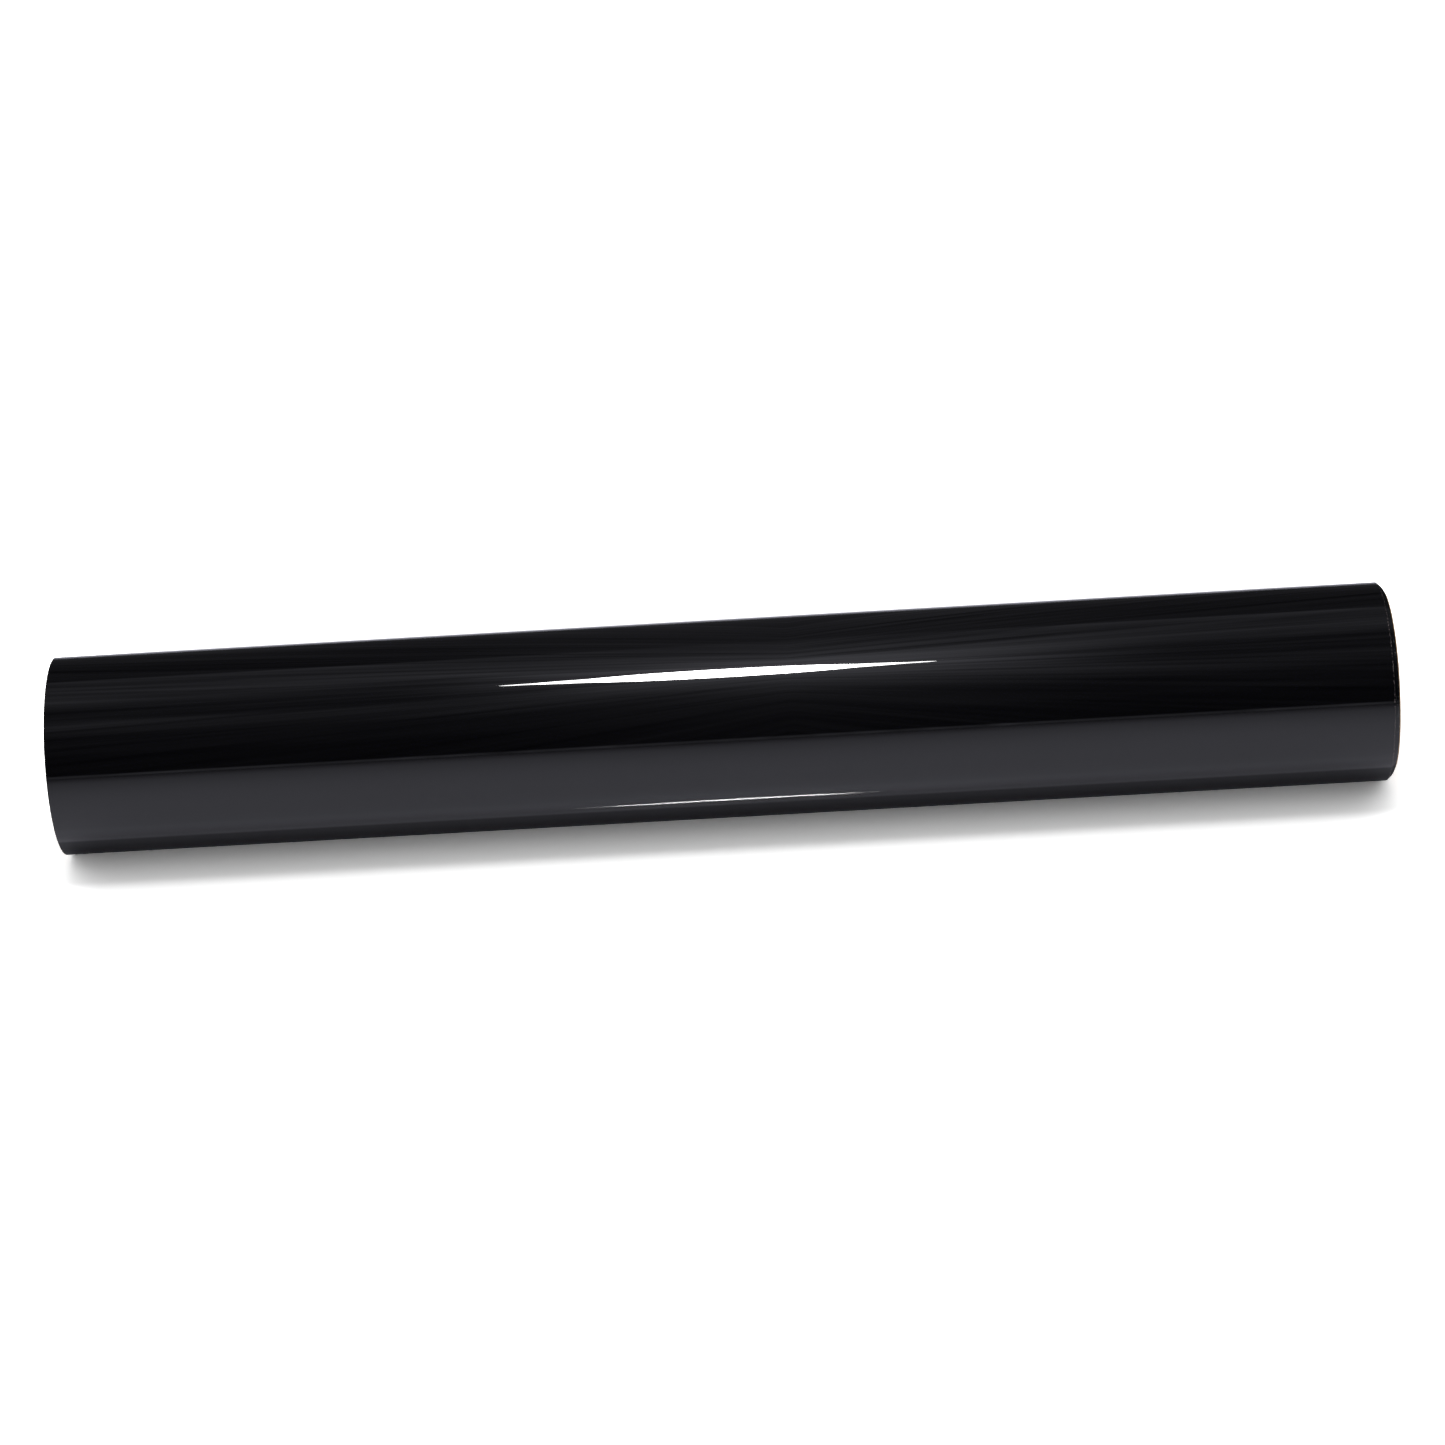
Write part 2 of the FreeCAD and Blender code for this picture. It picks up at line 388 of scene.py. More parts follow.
@dataclass(frozen=True)
class VinylFinish(Finish):
    """Gloss vinyl whose slit edges are speckled with the pale dust of slitting.

    `middle` is the outermost turn's middle and `scuff` is how far in the dust reaches. The turns
    under it have slipped less: what stands past its edge by more than `margin` has no dust.
    """

    middle: float = -Winding.telescope
    half_width: float = Winding.width / 2
    margin: float = 0.1 * MM
    scuff: float = 0.5 * MM
    dust: Triple = (0.13, 0.105, 0.10)
    dust_rough: float = 0.7
    dust_grain: float = 1400.0
    dust_levels: Span = (0.5, 0.62)

    def make(self) -> bpy.types.Material:
        """Return the finish with the dust along its edges."""
        material = super().make()
        nodes = Nodes(material.node_tree)
        shader = material.node_tree.nodes["Principled BSDF"]
        across = nodes.calculate("SUBTRACT", nodes.parts("Object")[0], self.middle)
        aside = nodes.calculate("ABSOLUTE", across)
        near = nodes.remap(aside, (self.half_width - self.scuff, self.half_width))
        inside = nodes.calculate("LESS_THAN", aside, self.half_width + self.margin)
        place = nodes.add("ShaderNodeTexCoord").outputs["Object"]
        specks = nodes.add("ShaderNodeTexNoise", Scale=self.dust_grain, Detail=2.0, Vector=place)
        speck = nodes.remap(specks.outputs["Fac"], self.dust_levels)
        mask = nodes.calculate("MULTIPLY", nodes.calculate("MULTIPLY", near, inside), speck)
        dusty = (("Base Color", "RGBA", (*self.dust, 1.0)), ("Roughness", "FLOAT", self.dust_rough))
        for name, kind, value in dusty:
            socket = shader.inputs[name]
            clean = socket.links[0].from_socket
            nodes.feed(socket, nodes.mix(kind, mask, clean, value))
        return material


FINISHES = {
    Slot.VINYL: VinylFinish(
        "black_gloss_vinyl", light=(0.0002, 0.0002, 0.0005), dark=(0.0001, 0.0001, 0.0004),
        smooth=0.015, rough=0.035, grain=60.0, relief=0.0,
    ),
    Slot.LINER: Finish(
        "white_release_liner", light=(0.86, 0.85, 0.82), dark=(0.72, 0.71, 0.68),
        smooth=0.35, rough=0.55, grain=900.0, relief=0.02 * MM,
    ),
    Slot.ADHESIVE: Finish(
        "clear_adhesive", light=(0.55, 0.54, 0.50), dark=(0.42, 0.40, 0.37),
        smooth=0.2, rough=0.4, grain=700.0, relief=0.01 * MM,
    ),
    Slot.CORE: Finish(
        "kraft_core_board", light=(0.50, 0.36, 0.23), dark=(0.36, 0.24, 0.14),
        smooth=0.7, rough=0.95, grain=420.0, relief=0.06 * MM, stretch=(0.3, 1.0, 1.0),
    ),
    Slot.STARTER: Finish(
        "double_sided_tape", light=(0.74, 0.73, 0.70), dark=(0.62, 0.61, 0.57),
        smooth=0.2, rough=0.4, grain=300.0, relief=0.01 * MM,
    ),
    Slot.TAPE: Finish(
        "cream_crepe_tape", light=(0.82, 0.72, 0.50), dark=(0.58, 0.47, 0.29),
        smooth=0.5, rough=0.8, grain=900.0, relief=0.12 * MM, stretch=(0.2, 1.0, 1.0),
    ),
}


def finish_piece(
    mesh_in_work: bmesh.types.BMesh,
    name: str,
    finish: bpy.types.Material,
    replaces: Sequence[str] = (),
) -> bpy.types.Object:
    """Turn a bmesh into a finished piece with its finish.

    Args:
        mesh_in_work: the closed mesh, in the frame's coordinates; it is freed.
        name: the piece's name.
        finish: the piece's material.
        replaces: the frame's nodes that the piece stands for.

    Returns:
        The piece, at the origin, riding on nothing yet.
    """
    bmesh.ops.recalc_face_normals(mesh_in_work, faces=mesh_in_work.faces[:])
    mesh = bpy.data.meshes.new(name)
    mesh_in_work.to_mesh(mesh)
    mesh_in_work.free()
    mesh.shade_smooth()
    mesh.set_sharp_from_angle(angle=SHARP_ANGLE)
    mesh.materials.append(finish)
    piece = bpy.data.objects.new(name, mesh)
    bpy.context.scene.collection.objects.link(piece)
    if replaces:
        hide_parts(*replaces)
    LOG.info("%s: %d faces", name, len(mesh.polygons))
    return piece


# ------------------------------------------------------------------------------ wound web


@dataclass(frozen=True)
class WebSurface:
    """The small unevenness that winding and slitting leave in the web."""

    ripple: float = 0.01 * MM
    ripple_length: float = 140.0 * MM
    ripple_arc: float = 40.0
    slit: float = 0.08 * MM
    slit_grain: float = 1.1 * MM
    slit_reach: float = 4.0 * MM
    turn_shift: float = 3.7

    def lift(self, place: Vector, angle: float) -> float:
        """Return how far the outermost film stands up at a place."""
        sample = Vector((place.x / self.ripple_length, angle / self.ripple_arc, NOISE_PLANE))
        return self.ripple * unit_noise(sample)

    def ragged(self, place: Vector, turns: float) -> float:
        """Return how far the slit edge stops short of its line, turn by turn."""
        sample = place / self.slit_grain + Vector((turns * self.turn_shift, 0.0, 0.0))
        return self.slit * unit_noise(sample)


@dataclass(frozen=True)
class Cut:
    """How finely a layer is cut: facets to a half turn, and stations along the roll."""

    facets: int
    stations: int


WOUND_CUT = Cut(48, 2)
OUTERMOST_CUT = Cut(120, 96)
LIFTED_CUT = Cut(180, 32)
LIFTED_FILM_CUT = Cut(180, 96)


@dataclass(frozen=True)
class WebRun:
    """One layer of the web over a stretch of the winding.

    `node` is the frame's node that it stands for, `heights` are its inside and outside above the
    web's inside, `turned` is its stretch in winding angles, and outermost film is `rippled`.
    """

    name: str
    node: str
    slot: Slot
    heights: Span
    turned: Span
    cut: Cut
    rippled: bool = False


class Web:
    """The self-adhesive web: wound liner, adhesive and film, with its tail and lip."""

    def __init__(
        self, winding: Winding, surface: WebSurface, finishes: dict[Slot, bpy.types.Material]
    ) -> None:
        """Keep the sizes and finishes that the layers are made with."""
        self.winding = winding
        self.surface = surface
        self.finishes = finishes

    def wind(self, run: WebRun) -> bmesh.types.BMesh:
        """Wind a layer by spinning an edge as wide as the web, half turn by half turn.

        Args:
            run: the layer and the stretch of the winding that it covers.

        Returns:
            The layer as a closed mesh of its own thickness.
        """
        winding = self.winding
        inside, outside = run.heights
        turned, end = run.turned
        half = Vector((winding.width / 2, 0.0, 0.0))
        first = winding.spot(turned, outside)
        layer = bmesh.new()
        edge = layer.edges.new([layer.verts.new(first - half), layer.verts.new(first + half)])
        if run.cut.stations > 1:
            bmesh.ops.subdivide_edges(layer, edges=[edge], cuts=run.cut.stations - 1)
        leading = [*layer.verts, *layer.edges]
        while turned < end - NEGLIGIBLE:
            stop = min(end, (turned // HALF_TURN + 1) * HALF_TURN)
            steps = max(1, round((stop - turned) / HALF_TURN * run.cut.facets))
            slide = winding.slip(stop) - winding.slip(turned)
            leading = bmesh.ops.spin(
                layer,
                geom=leading,
                cent=winding.centre(turned),
                axis=X_AXIS,
                dvec=(slide / steps, 0.0, 0.0),
                angle=-math.radians(stop - turned),
                steps=steps,
            )["geom_last"]
            turned = stop
        layer.normal_update()
        bmesh.ops.solidify(layer, geom=layer.faces[:], thickness=outside - inside)
        return layer

    def roughen(self, layer: bmesh.types.BMesh, run: WebRun) -> None:
        """Make the slit edges slightly ragged, and ripple the film where it is the outside.

        Args:
            layer: the wound layer.
            run: the layer's stretch of the winding.
        """
        winding = self.winding
        reach = winding.width / 2 + winding.slip(run.turned[1]) - self.surface.slit_reach
        for vert in layer.verts:
            radius = math.hypot(vert.co.y, vert.co.z)
            angle = math.degrees(math.atan2(vert.co.z, vert.co.y))
            turns = (radius - winding.core_radius) / winding.pitch
            if run.rippled:
                vert.co += direction(angle) * self.surface.lift(vert.co, angle)
            if abs(vert.co.x) > reach:
                vert.co.x -= math.copysign(self.surface.ragged(vert.co, turns), vert.co.x)

    def make(self, run: WebRun) -> bpy.types.Object:
        """Wind, roughen and dress one layer."""
        layer = self.wind(run)
        self.roughen(layer, run)
        return finish_piece(layer, run.name, self.finishes[run.slot], [run.node])

    def build(self) -> None:
        """Make every layer: wound, tail and lip; only the wound ones ride on the roll."""
        winding = self.winding
        hinge = winding.turned_at(winding.hinge_angle)
        lip = winding.turned_at(winding.lip_angle)
        edge = winding.turned_at(winding.edge_angle)
        outer = hinge - FULL_TURN
        liner = (Slot.LINER, (0.0, winding.liner))
        glue = (Slot.ADHESIVE, (winding.liner, winding.film_inside))
        film = (Slot.VINYL, (winding.film_inside, winding.web))
        for run in (
            WebRun("liner_wound", "release_liner", *liner, (0.0, hinge), WOUND_CUT),
            WebRun("adhesive_wound", "adhesive_coat", *glue, (0.0, hinge), WOUND_CUT),
            WebRun("film_wound", "vinyl_film", *film, (0.0, outer), WOUND_CUT),
            WebRun("film_outermost", "film_outer_turn", *film, (outer, hinge), OUTERMOST_CUT, True),
        ):
            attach(self.make(run), Body.ROLL.value)
        for run in (
            WebRun("liner_tail_sheet", "liner_tail", *liner, (hinge, edge), LIFTED_CUT),
            WebRun("adhesive_tail_sheet", "adhesive_tail", *glue, (hinge, lip), LIFTED_CUT),
            WebRun("film_tail_sheet", "film_tail", *film, (hinge, lip), LIFTED_FILM_CUT, True),
        ):
            bend = self.bend(winding.hinge_angle)
            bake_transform(self.make(run))
        for run in (
            WebRun("adhesive_lip_sheet", "adhesive_lip", *glue, (lip, edge), LIFTED_CUT),
            WebRun("film_lip_sheet", "film_lip", *film, (lip, edge), LIFTED_FILM_CUT, True),
        ):
            bend = self.bend(winding.lip_angle)
            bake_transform(self.make(run))

    def bend(self, angle: float, reach: float = 14.0) -> tuple[Vector, Vector]:
        """Return where a sheet starts to follow the lifting body and where it follows it wholly.

        Args:
            angle: the hinge's angle.
            reach: how many degrees of the sheet bend.

        Returns:
            The two ends of the bend, on the web's outside.
        """
        winding = self.winding
        ends = (winding.turned_at(angle), winding.turned_at(angle - reach))
        start, end = (winding.spot(turned, winding.web) for turned in ends)
        return start, end


# ------------------------------------------------------------------------------ paper core


@dataclass
class PaperCore:
    """The core: a helical inner ply, then plain plies, all with saw-cut ends."""

    winding: Winding
    finish: Finish
    band: float = 104.0 * MM
    seam: float = 0.35 * MM
    facets: int = 128
    ragged: float = 0.07 * MM
    fray_grain: float = 9.0 * MM
    fray_shift: float = 5.3
    shades: tuple[float, ...] = (1.0, 0.84, 1.06, 0.9, 1.1, 0.8, 1.02, 0.92)

    @property
    def half_length(self) -> float:
        """Return half the core's length."""
        return mount("core_bore")["dims"]["length_mm"] * MM / 2

    def section(self, mesh: bmesh.types.BMesh, ends: Span, radii: Span) -> list[bmesh.types.BMVert]:
        """Draw the closed outline of a ply's long section.

        Args:
            mesh: the mesh to draw it in.
            ends: its two ends along the axis.
            radii: its inner and outer radius.

        Returns:
            The corners, in order round the outline.
        """
        (left, right), (inside, outside) = ends, radii
        places = [(left, inside), (right, inside), (right, outside), (left, outside)]
        corners = [mesh.verts.new((x, radius, 0.0)) for x, radius in places]
        for start, end in zip(corners, corners[1:] + corners[:1]):
            mesh.edges.new((start, end))
        return corners

    def ring(self, radii: Span) -> bmesh.types.BMesh:
        """Spin a ply's long section round the axis into a closed tube."""
        tube = bmesh.new()
        self.section(tube, (-self.half_length, self.half_length), radii)
        bmesh.ops.spin(
            tube,
            geom=[*tube.verts, *tube.edges],
            cent=ORIGIN,
            axis=X_AXIS,
            angle=math.radians(FULL_TURN),
            steps=self.facets,
            use_merge=True,
        )
        return tube

    def fray_ends(self, ply: bmesh.types.BMesh, number: int) -> None:
        """Leave each ply's end a little short of the saw's line."""
        for vert in ply.verts:
            if abs(vert.co.x) > self.half_length - NEGLIGIBLE:
                sample = Vector((number * self.fray_shift, vert.co.y, vert.co.z)) / self.fray_grain
                vert.co.x -= math.copysign(self.ragged * unit_noise(sample), vert.co.x)

    def helical_band(self, radii: Span) -> bmesh.types.BMesh:
        """Spin a strip's section along a helix and saw it off at both ends.

        Args:
            radii: the strip's inner and outer radius.

        Returns:
            The strip as a closed band whose turns stand a seam apart.
        """
        turns = math.ceil(2 * self.half_length / self.band) + 2
        start = -self.half_length - self.band
        strip = bmesh.new()
        corners = self.section(strip, (start, start + self.band - self.seam), radii)
        outline = strip.edges[:]
        strip.faces.new(corners)
        last = bmesh.ops.spin(
            strip,
            geom=[*corners, *outline],
            cent=ORIGIN,
            axis=X_AXIS,
            dvec=(self.band / self.facets, 0.0, 0.0),
            angle=math.radians(FULL_TURN * turns),
            steps=turns * self.facets,
        )["geom_last"]
        last_edges = [item for item in last if isinstance(item, bmesh.types.BMEdge)]
        bmesh.ops.contextual_create(strip, geom=last_edges)
        bmesh.ops.recalc_face_normals(strip, faces=strip.faces[:])
        for side in (-1.0, 1.0):
            cut = bmesh.ops.bisect_plane(
                strip,
                geom=[*strip.verts, *strip.edges, *strip.faces],
                plane_co=(side * self.half_length, 0.0, 0.0),
                plane_no=(side, 0.0, 0.0),
                clear_outer=True,
            )["geom_cut"]
            rim = [item for item in cut if isinstance(item, bmesh.types.BMEdge)]
            bmesh.ops.holes_fill(strip, edges=rim)
        return strip

    def ply_finish(self, number: int) -> bpy.types.Material:
        """Return the board's finish in one ply's own shade."""
        shade = self.shades[(number - 1) % len(self.shades)]
        tints = (self.finish.light, self.finish.dark)
        light, dark = (tuple(part * shade for part in tint) for tint in tints)
        name = f"{self.finish.name}_{number}"
        return replace(self.finish, name=name, light=light, dark=dark).make()

    def build(self) -> None:
        """Make the plies from the bore outwards."""
        winding = self.winding
        for number in range(1, winding.core_plies + 1):
            outside = winding.bore + number * winding.ply
            radii = (outside - winding.ply, outside)
            if number == 1:
                ply = self.helical_band(radii)
            else:
                ply = self.ring(radii)
                self.fray_ends(ply, number)
            node = f"core_ply_{number}"
            finish = self.ply_finish(number)
            piece = finish_piece(ply, f"core_board_{number}", finish, [node])
            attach(piece, Body.ROLL.value)


# ------------------------------------------------------------------------------ crepe tapes


@dataclass
class CrepeTape:
    """A short tape across the web's cut edge, its ends torn on a toothed blade."""

    side: str
    winding: Winding
    finish: bpy.types.Material
    width: float = 25.4 * MM
    thickness: float = 0.13 * MM
    upper_angle: float = 20.0
    lower_angle: float = -20.0
    row: float = 0.5
    teeth: int = 20
    tooth_depth: float = 0.7 * MM
    ramp: float = 2.2
    bend_reach: float = 8.0
    crepe: float = 0.035 * MM
    crepe_length: float = 5.0 * MM
    crepe_step: float = 0.9

    def under(self, angle: float) -> float:
        """Return the radius of what the tape lies on: the tail, or the turn below past its edge."""
        winding = self.winding
        turned = winding.turned_at(max(angle, winding.edge_angle))
        tail = winding.spot(turned, winding.web).yz.length
        below = winding.spot(winding.turned_at(angle) - FULL_TURN, winding.web).yz.length
        past = min(1.0, max(0.0, (winding.edge_angle - angle) / self.ramp))
        eased = past * past * (3 - 2 * past)
        return tail + (below - tail) * eased

    def crepe_at(self, x: float, angle: float) -> float:
        """Return how far the paper's crepe stands up: ridges that run along the roll."""
        sample = Vector((x / self.crepe_length, angle / self.crepe_step, NOISE_PLANE))
        return self.crepe * unit_noise(sample)

    def spun_strip(self, middle: float) -> bmesh.types.BMesh:
        """Spin the tape's upper edge down to its lower edge, two stations to a tooth."""
        half = self.width / 2
        first = direction(self.upper_angle) * self.winding.core_radius
        strip = bmesh.new()
        ends = [strip.verts.new(first + Vector((middle + x, 0.0, 0.0))) for x in (-half, half)]
        edge = strip.edges.new(ends)
        bmesh.ops.subdivide_edges(strip, edges=[edge], cuts=2 * self.teeth - 1)
        span = self.upper_angle - self.lower_angle
        bmesh.ops.spin(
            strip,
            geom=[*strip.verts, *strip.edges],
            cent=ORIGIN,
            axis=X_AXIS,
            angle=-math.radians(span),
            steps=round(span / self.row),
        )
        return strip

    def lay(self, strip: bmesh.types.BMesh, middle: float) -> None:
        """Lay the strip on the web, with its notches and its crepe.

        Args:
            strip: the spun strip.
            middle: the tape's middle along the roll.
        """
        tooth = self.width / self.teeth
        notch = math.degrees(self.tooth_depth / self.winding.core_radius)
        for vert in strip.verts:
            angle = math.degrees(math.atan2(vert.co.z, vert.co.y))
            past_end = min(abs(angle - end) for end in (self.upper_angle, self.lower_angle))
            station = round((vert.co.x - middle + self.width / 2) / tooth * 2)
            if past_end < self.row / 2 and station % 2 == 1:
                angle -= math.copysign(notch, angle)
            radius = self.under(angle) + self.thickness + self.crepe_at(vert.co.x, angle)
            vert.co = Vector((vert.co.x, 0.0, 0.0)) + direction(angle) * radius

    def build(self) -> None:
        """Make the tape, riding on nothing."""
        node = f"tape_{self.side}"
        low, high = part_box(node)
        middle = (low[0] + high[0]) / 2
        strip = self.spun_strip(middle)
        self.lay(strip, middle)
        strip.normal_update()
        bmesh.ops.solidify(strip, geom=strip.faces[:], thickness=self.thickness)
        piece = finish_piece(strip, f"{node}_strip", self.finish, [node])
        bent = self.upper_angle - self.bend_reach
        start, end = (direction(angle) * self.under(angle) for angle in (self.upper_angle, bent))
        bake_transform(piece)


# ------------------------------------------------------------------------------ studio


@dataclass(frozen=True)
class Camera:
    """The camera: a long lens aimed at the web's middle, slightly turned and rolled."""

    lens: float = 103.56
    sensor: float = 36.0
    far: float = 100.0
    distance: float = 1.919
    elevation: float = 25.0
    turn: float = 1.042
    roll: float = -3.69
    aim_right: float = 1.51 * MM
    aim_down: float = 1.70 * MM

    def build(self, target: Vector) -> None:
        """Place the camera so that it looks at a target.

        Args:
            target: the middle of the web.
        """
        tilt, turn = math.radians(self.elevation), math.radians(self.turn)
        level = Vector((-math.sin(turn), math.cos(turn), 0.0)) * math.cos(tilt)
        forward = level + Vector((0.0, 0.0, -math.sin(tilt)))
        right = Vector((math.cos(turn), math.sin(turn), 0.0))
        upright = Matrix((right, right.cross(forward), -forward)).transposed().to_quaternion()
        facing = upright @ Quaternion((0.0, 0.0, 1.0), math.radians(self.roll))
        offset = facing @ Vector((self.aim_right, -self.aim_down, self.distance))
        data = bpy.data.cameras.new("camera")
        data.lens = self.lens
        data.sensor_width = self.sensor
        data.clip_end = self.far
        camera = bpy.data.objects.new("camera", data)
        camera.rotation_mode = "QUATERNION"
        camera.rotation_quaternion = facing
        camera.location = target + offset
        bpy.context.scene.collection.objects.link(camera)
        bpy.context.scene.camera = camera


@dataclass(frozen=True)
class Panel:
    """An elliptical light: where it hangs, what it faces, its size, and what it lights."""

    name: str
    place: Triple
    target: Triple
    width: float
    depth: float
    power: float
    glossy: bool

    def build(self) -> None:
        """Hang the light, out of the camera's sight, seen either by gloss or by the rest."""
        data = bpy.data.lights.new(self.name, "AREA")
        data.shape = "ELLIPSE"
        data.size, data.size_y = self.width, self.depth
        data.energy = self.power
        light = bpy.data.objects.new(self.name, data)
        place = Vector(self.place)
        light.location = place
        light.rotation_euler = (Vector(self.target) - place).to_track_quat("-Z", "Y").to_euler()
        light.visible_camera = False
        light.visible_glossy = self.glossy
        light.visible_diffuse = not self.glossy
        bpy.context.scene.collection.objects.link(light)


@dataclass(frozen=True)
class Lamp:
    """One of the lamp's nested tubes: its middle's x, its width, depth and power."""

    middle: float
    width: float
    depth: float
    power: float


Tone = tuple[float, float]


def tone_ramp(
    nodes: Nodes, fac: bpy.types.NodeSocket, tones: Sequence[Tone], tint: float
) -> bpy.types.NodeSocket:
    """Add a ramp of greys, slightly bluish, and return its colour.

    Args:
        nodes: the tree's nodes.
        fac: where along the ramp to read it, 0 to 1.
        tones: places along the ramp and their brightness, in rising order.
        tint: how many times brighter blue is than red and green.

    Returns:
        The ramp's colour output.
    """
    ramp = nodes.add("ShaderNodeValToRGB", Fac=fac)
    elements = ramp.color_ramp.elements
    while len(elements) > 1:
        elements.remove(elements[-1])
    for count, (place, tone) in enumerate(tones):
        element = elements[0] if count == 0 else elements.new(place)
        element.position = place
        element.color = (tone, tone, tone * tint, 1.0)
    return ramp.outputs["Color"]


@dataclass(frozen=True)
class Table:
    """The table's top: white to the camera, and painted with shade and light for gloss.

    The tones' places are y: the dark ones about 0 are a painted shadow under the roll, and the rest
    are painted light, how bright the lit top is at each distance. To the camera the top is painted
    brighter past the roll's `ends`, which are distances from its middle, to wash out its shadow there.
    """

    height: float
    front: float = -6.0
    back: float = 5.0
    half_width: float = 6.0
    roughness: float = 0.028
    ior: float = 1.9
    specular: float = 0.5
    white: float = 1.34
    # painted light: to the camera the top is brighter past the roll's ends, washing out its shadow
    end_painted_light: float = 2.8
    ends: Span = (0.285, 0.345)
    # painted for gloss: a shadow under the roll about y 0, and the lit top's brightness by distance
    tones: tuple[Tone, ...] = (
        (-6.0, 0.83), (-1.25, 0.92), (-0.45, 1.02), (-0.278, 0.92), (-0.160, 0.93), (-0.086, 0.98),
        (-0.0546, 0.97), (-0.0436, 1.13), (-0.0372, 1.40), (-0.0356, 0.67), (-0.028, 0.35),
        (-0.0218, 0.23), (0.0218, 0.23), (0.028, 0.35), (0.0342, 0.67), (0.0358, 1.0), (5.0, 0.97),
    )
    contact_reach: float = 0.06
    tint: float = 1.14

    def build(self) -> None:
        """Make the top as a plane with its material."""
        plane = bmesh.new()
        bmesh.ops.create_grid(plane, x_segments=1, y_segments=1, size=1.0)
        depth = self.back - self.front
        bmesh.ops.scale(plane, vec=(self.half_width, depth / 2, 1.0), verts=plane.verts)
        middle = (self.back + self.front) / 2
        bmesh.ops.translate(plane, vec=(0.0, middle, self.height), verts=plane.verts)
        mesh = bpy.data.meshes.new("table_top")
        plane.to_mesh(mesh)
        plane.free()
        mesh.materials.append(self.material())
        table = bpy.data.objects.new("table_top", mesh)
        bpy.context.scene.collection.objects.link(table)

    def material(self) -> bpy.types.Material:
        """Return the top's material, whose gloss the camera doesn't see.

        The painted ramp is read through an arctangent of y, giving most of it to the roll's foot.
        """
        material = bpy.data.materials.new("white_table_painted_shade")
        material.use_nodes = True
        nodes = Nodes(material.node_tree)
        across, along, _ = nodes.parts("Object")
        bent = nodes.calculate("ARCTANGENT", nodes.calculate("DIVIDE", along, self.contact_reach))
        place = nodes.calculate("MULTIPLY_ADD", bent, 1.0 / math.pi, 0.5)
        tones = [(math.atan(y / self.contact_reach) / math.pi + 0.5, tone) for y, tone in self.tones]
        # painted shade and light seen by gloss: the roll's shadow and the lit top's brightness by
        # distance
        shade = tone_ramp(nodes, place, tones, self.tint)
        # painted light past the roll's ends, which washes out the roll's shadow to the camera
        white = nodes.remap(
            nodes.calculate("ABSOLUTE", across), self.ends, (self.white, self.end_painted_light), "SMOOTHSTEP"
        )
        seen = nodes.add("ShaderNodeLightPath").outputs["Is Camera Ray"]
        values = {
            "Roughness": self.roughness,
            "IOR": self.ior,
            "Specular IOR Level": nodes.remap(seen, (0.0, 1.0), (self.specular, 0.0)),
            "Base Color": nodes.mix("RGBA", seen, shade, white),
        }
        shader = material.node_tree.nodes["Principled BSDF"]
        for name, value in values.items():
            nodes.feed(shader.inputs[name], value)
        return material


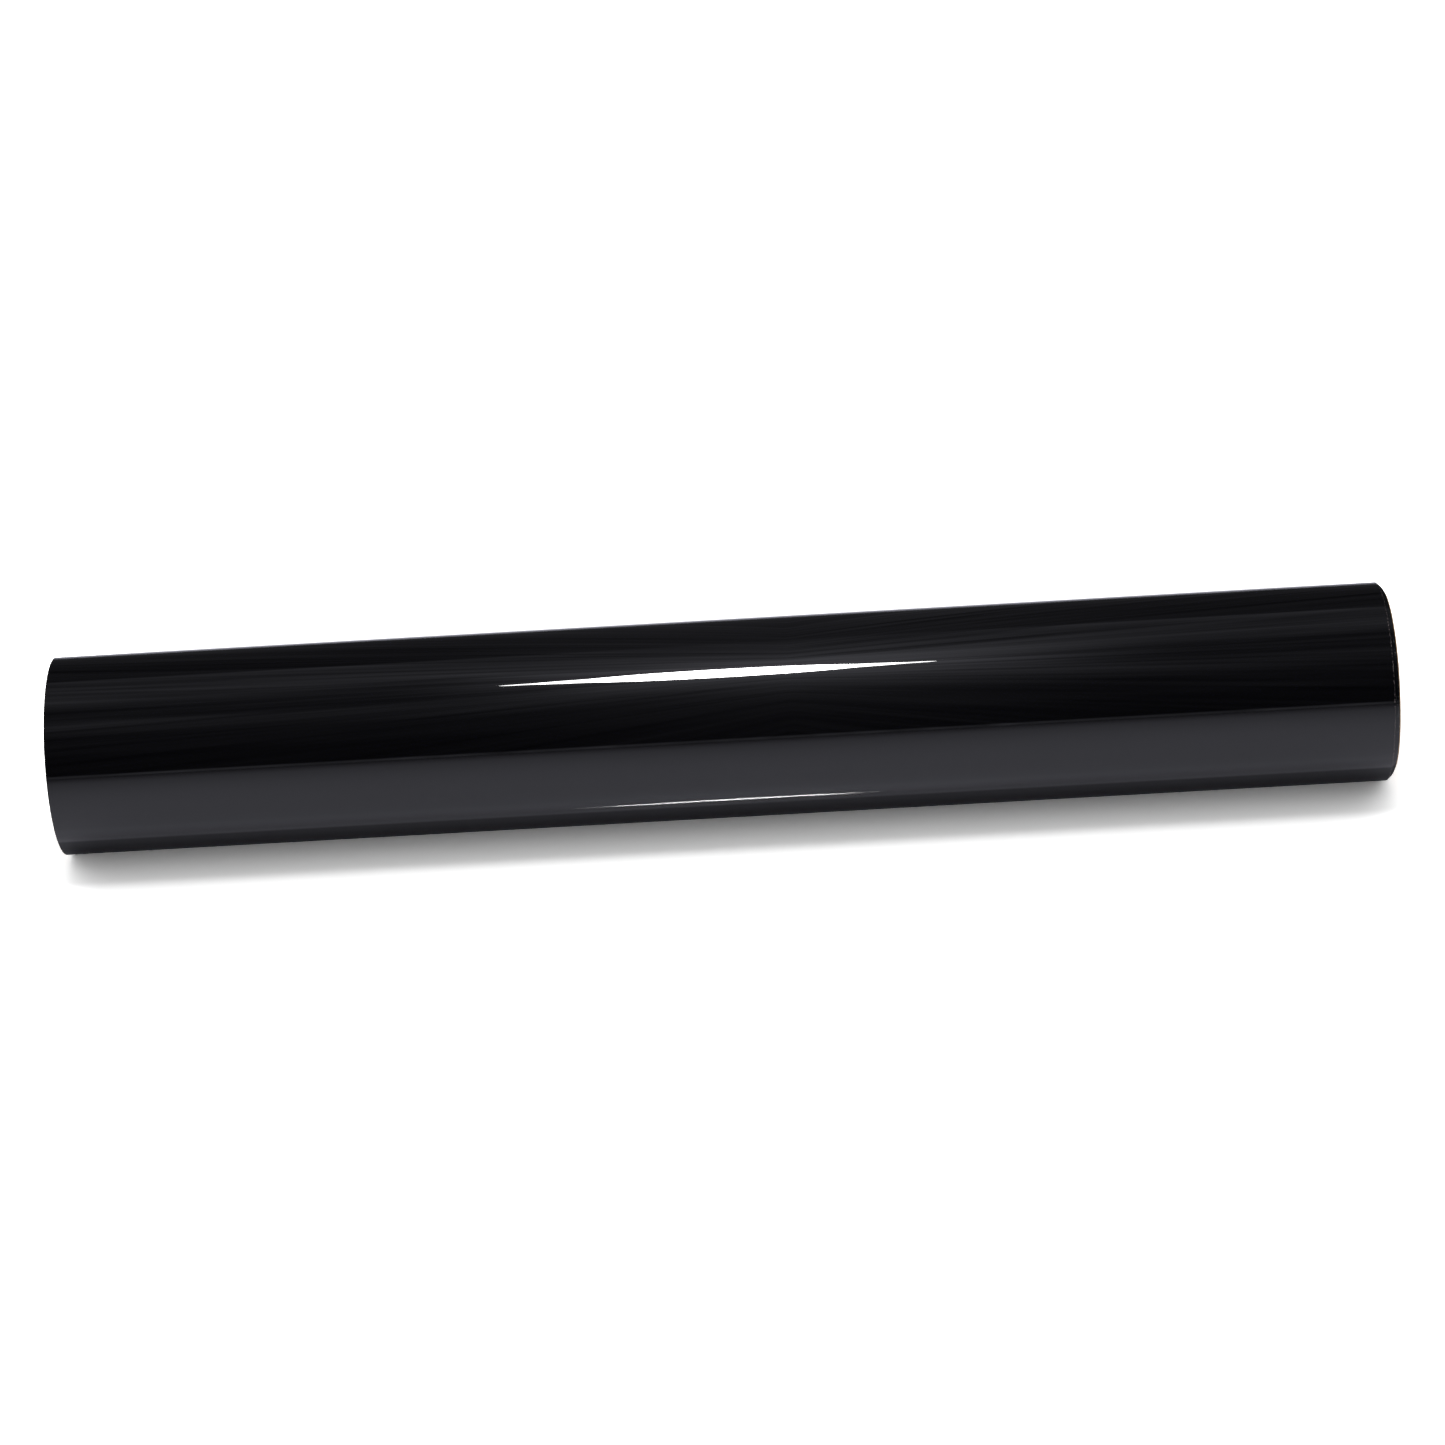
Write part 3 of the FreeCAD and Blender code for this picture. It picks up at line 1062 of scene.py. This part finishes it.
@dataclass(frozen=True)
class Room:
    """The surroundings: white to the camera, a dim room to gloss, and a bright fill to the rest.

    The tones' places are elevations: 0 is level at the front, 90 overhead, 180 the back. Gloss sees
    the room's middle turn into its sides as the direction's x grows through `side_limits`, in parts
    of `side_slope`. Its streaks meet at the lamp's elevation and open by `fan` towards the sides.
    """

    middle: tuple[Tone, ...] = (
        (0, 0.30), (0.8, 0.30), (1.6, 0.06), (21, 0.075), (40, 0.12), (50, 0.18), (59, 0.34),
        (66, 0.56), (78, 0.90), (90, 0.90), (97, 0.46), (113, 0.25), (120, 0.19), (123, 0.14),
        (143, 0.10), (170, 0.06),
    )
    sides: tuple[Tone, ...] = (
        (0, 0.30), (0.8, 0.30), (1.6, 0.045), (21, 0.046), (28, 0.076), (44, 0.076), (50, 0.12),
        (60, 0.19), (67, 0.13), (83, 0.14), (89, 0.26), (96, 0.31), (102, 0.25), (112, 0.20),
        (119.5, 0.25), (121.5, 0.08), (142, 0.055), (170, 0.045),
    )
    fill: tuple[Tone, ...] = (
        (0, 2.34), (24, 2.34), (26, 0.45), (40, 0.60), (58, 0.70), (75, 0.78), (100, 0.81),
    )
    tint: float = 1.12
    side_slope: float = 0.155
    side_limits: Span = (0.05, 0.65)
    lamp_elevation: float = 80.0
    fan: float = 0.8
    fan_middle: float = 0.35
    streak_scale: Triple = (7.0, 26.0, 1.0)
    streak_slant: float = 0.05
    streak_levels: Span = (0.3, 0.7)
    streak_tones: Span = (0.5, 1.6)

    def build(self) -> None:
        """Make the world."""
        world = bpy.data.worlds.new("studio")
        bpy.context.scene.world = world
        world.use_nodes = True
        world.cycles.sampling_method = "NONE"
        world.node_tree.nodes.clear()
        nodes = Nodes(world.node_tree)
        across, along, up = nodes.parts("Generated")
        elevation = nodes.calculate("ARCTAN2", up, nodes.calculate("MULTIPLY", along, -1.0))
        part = nodes.calculate("DIVIDE", elevation, math.pi)
        limits = tuple(limit * self.side_slope for limit in self.side_limits)
        aside = nodes.calculate("ABSOLUTE", across)
        side = nodes.remap(aside, limits, curve="SMOOTHSTEP")
        middle, sides, fill = (
            tone_ramp(nodes, part, [(angle / HALF_TURN, tone) for angle, tone in tones], tint)
            for tones, tint in ((self.middle, self.tint), (self.sides, self.tint), (self.fill, 1.0))
        )
        room = nodes.mix("RGBA", side, middle, sides)
        draped = nodes.mix("RGBA", 1.0, room, self.streaks(nodes, across, part), "MULTIPLY")
        path = nodes.add("ShaderNodeLightPath").outputs
        lit = nodes.mix("RGBA", path["Is Glossy Ray"], fill, draped)
        seen = nodes.mix("RGBA", path["Is Camera Ray"], lit, (1.0, 1.0, 1.0, 1.0))
        shader = nodes.add("ShaderNodeBackground", Color=seen)
        nodes.add("ShaderNodeOutputWorld", Surface=shader.outputs["Background"])

    def streaks(
        self, nodes: Nodes, across: bpy.types.NodeSocket, part: bpy.types.NodeSocket
    ) -> bpy.types.NodeSocket:
        """Make the dim drapery of the room: long streaks that fan out from behind the lamp.

        Args:
            nodes: the world's nodes.
            across: the direction's x.
            part: its elevation, as a part of a half turn.

        Returns:
            The streaks' brightness, about one.
        """
        aside = nodes.calculate("ABSOLUTE", across)
        opening = nodes.calculate("MULTIPLY_ADD", aside, self.fan / self.side_slope, self.fan_middle)
        above = nodes.calculate("SUBTRACT", part, self.lamp_elevation / HALF_TURN)
        fanned = nodes.calculate("DIVIDE", above, opening)
        spread = nodes.add("ShaderNodeCombineXYZ", X=across, Y=fanned).outputs["Vector"]
        stretched = nodes.add(
            "ShaderNodeMapping", Vector=spread, Scale=self.streak_scale,
            Rotation=(0.0, 0.0, self.streak_slant),
        ).outputs["Vector"]
        cloth = nodes.add(
            "ShaderNodeTexNoise", Vector=stretched, Scale=1.0, Detail=4.0, Roughness=0.6, Distortion=0.9
        ).outputs["Fac"]
        return nodes.remap(cloth, self.streak_levels, self.streak_tones)


@dataclass(frozen=True)
class Studio:
    """A white table in a dim studio with a lamp over the roll; the fill light stays out of gloss."""

    table: Table
    room: Room = Room()
    lamps: tuple[Lamp, ...] = (
        Lamp(-0.004, 0.214, 0.009, 0.20),
        Lamp(-0.0035, 0.182, 0.019, 0.45),
        Lamp(-0.002, 0.138, 0.030, 1.6),
    )
    lamp_y: float = -0.058
    lamp_z: float = 0.183
    lamp_step: float = 0.5 * MM
    lamp_target: Span = (-0.028, 0.036)
    overhead: Panel = Panel("overhead", (0.0, -0.06, 1.2), (0.0, -0.06, 0.0), 0.32, 0.32, 4.8, False)

    def build(self) -> None:
        """Make the table, the lights and the surroundings."""
        self.table.build()
        for number, lamp in enumerate(self.lamps):
            place = (lamp.middle, self.lamp_y, self.lamp_z + self.lamp_step * number)
            target = (lamp.middle, *self.lamp_target)
            Panel(f"lamp_{number}", place, target, lamp.width, lamp.depth, lamp.power, True).build()
        self.overhead.build()
        self.room.build()


# ------------------------------------------------------------------------------ main


def dress_kept_nodes(finishes: dict[Slot, bpy.types.Material]) -> None:
    """Give the frame's starter tape, which stays in view, its finish."""
    starter = frame["nodes"]["starter_tape"]
    starter.data.materials.clear()
    starter.data.materials.append(finishes[Slot.STARTER])


def main() -> None:
    """Build the roll and its studio."""
    logging.basicConfig(level=logging.INFO, format="%(message)s")
    bpy.context.scene.view_settings.view_transform = "Standard"
    winding = Winding()
    finishes = {slot: finish.make() for slot, finish in FINISHES.items()}
    Camera().build(Vector((-winding.telescope, 0.0, 0.0)))
    Studio(Table(CAD_BOUNDS[0][2])).build()
    Web(winding, WebSurface(), finishes).build()
    PaperCore(winding, FINISHES[Slot.CORE]).build()
    for side in ("left", "middle", "right"):
        CrepeTape(side, winding, finishes[Slot.TAPE]).build()
    dress_kept_nodes(finishes)


if __name__ == "__main__":
    main()
